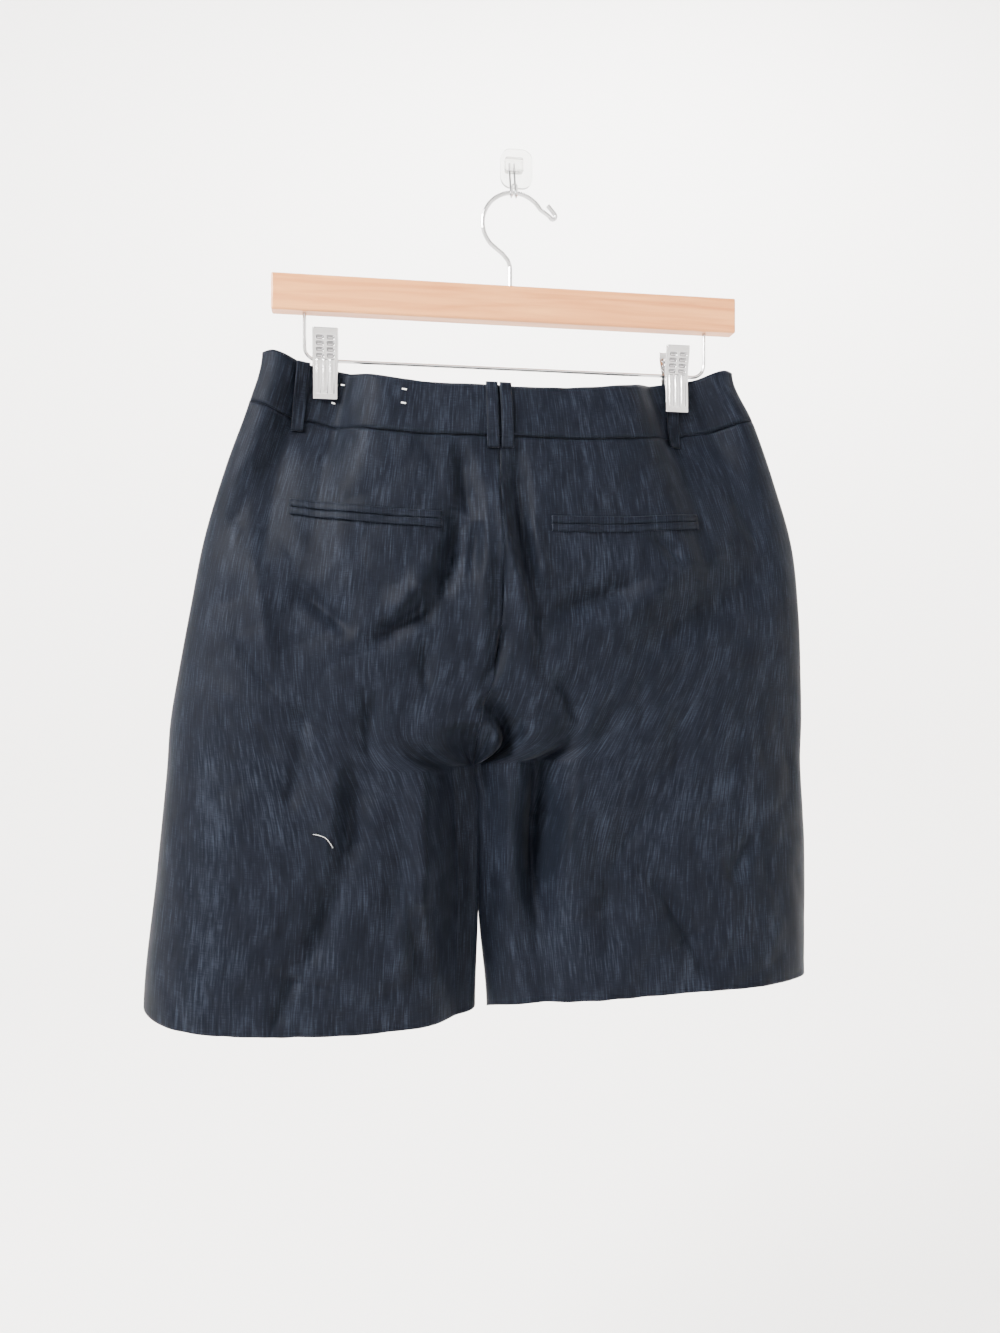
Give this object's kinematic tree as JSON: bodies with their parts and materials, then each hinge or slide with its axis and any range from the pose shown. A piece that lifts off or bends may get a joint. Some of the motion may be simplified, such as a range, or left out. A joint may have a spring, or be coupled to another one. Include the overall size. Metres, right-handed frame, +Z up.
{
  "type": "bermuda shorts on a clip hanger and a wall hook",
  "caption": "Dark navy bermuda shorts with welt back pockets and belt loops, clipped by the waistband to a wooden bar hanger on a clear wall hook.",
  "frame": {"origin": "underside of the hanger hook's crest, where the wall hook carries it", "axes": "+Z up, +X to the wearer's right, +Y towards the wall; the back of the shorts faces -Y"},
  "size_m": [0.5169, 0.0817, 0.6807],
  "materials": {
    "navy_denim": "dark navy lightweight denim, slubby upright yarns, slight sheen",
    "zip_tape": "woven navy tape",
    "navy_button": "dull navy resin",
    "beech": "clear satin lacquer",
    "chromed_steel": "bright plating",
    "clip_pad": "dull pinkish brown rubber",
    "clear_plastic": "clear glossy plastic"
  },
  "bodies": {
    "root": {"back_left": "navy_denim", "back_right": "navy_denim", "front_left": "navy_denim", "front_right": "navy_denim", "waistband_back": "navy_denim", "waistband_front_left": "navy_denim", "waistband_front_right": "navy_denim", "waistband_lap": "navy_denim", "fly_shield": "navy_denim", "hem_left": "navy_denim", "hem_right": "navy_denim", "loop_back_centre_left": "navy_denim", "loop_back_centre_right": "navy_denim", "loop_back_left": "navy_denim", "loop_back_right": "navy_denim", "loop_front_left": "navy_denim", "loop_front_right": "navy_denim", "pocket_left_welt_upper": "navy_denim", "pocket_left_welt_lower": "navy_denim", "pocket_right_welt_upper": "navy_denim", "pocket_right_welt_lower": "navy_denim", "zip_tape": "zip_tape", "zip_slider": "chromed_steel", "button": "navy_button", "hanger_bar": "beech", "hanger_hook": "chromed_steel", "hanger_wire": "chromed_steel", "wall_hook_plate": "clear_plastic", "wall_hook_boss": "clear_plastic", "wall_hook_wire": "chromed_steel", "clip_left_back_plate": "chromed_steel", "clip_left_back_pad": "clip_pad", "clip_left_front_plate": "chromed_steel", "clip_left_front_pad": "clip_pad", "clip_left_spring": "chromed_steel", "clip_right_back_plate": "chromed_steel", "clip_right_back_pad": "clip_pad", "clip_right_front_plate": "chromed_steel", "clip_right_front_pad": "clip_pad", "clip_right_spring": "chromed_steel"}
  },
  "joints": []
}
